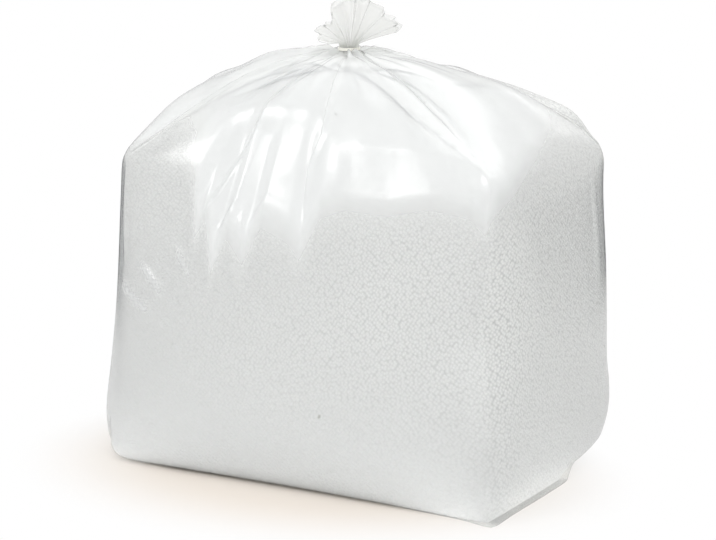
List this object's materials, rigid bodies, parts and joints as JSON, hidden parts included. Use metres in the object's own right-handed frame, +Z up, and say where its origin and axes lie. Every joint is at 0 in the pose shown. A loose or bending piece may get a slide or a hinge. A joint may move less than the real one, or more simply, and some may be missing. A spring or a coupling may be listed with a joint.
{
  "type": "bag of polystyrene beads",
  "caption": "Clear film bag full of loose white polystyrene beads, box-shaped, with a folded top drawn in to a tied neck and a short frill above it.",
  "frame": {"origin": "on the floor under the middle of the bag", "axes": "+Z up, X along the wide front, the front faces -Y"},
  "size_m": [0.6372, 0.4448, 0.6087],
  "materials": {
    "clear_film": "clear blown polyethylene film, glossy, slightly hazy",
    "white_foam": "expanded polystyrene beads, matt white",
    "natural_nylon": "natural nylon, milky"
  },
  "bodies": {
    "root": {"film_bag": "clear_film", "bead_fill": "white_foam", "neck_tie": "natural_nylon"}
  },
  "joints": []
}
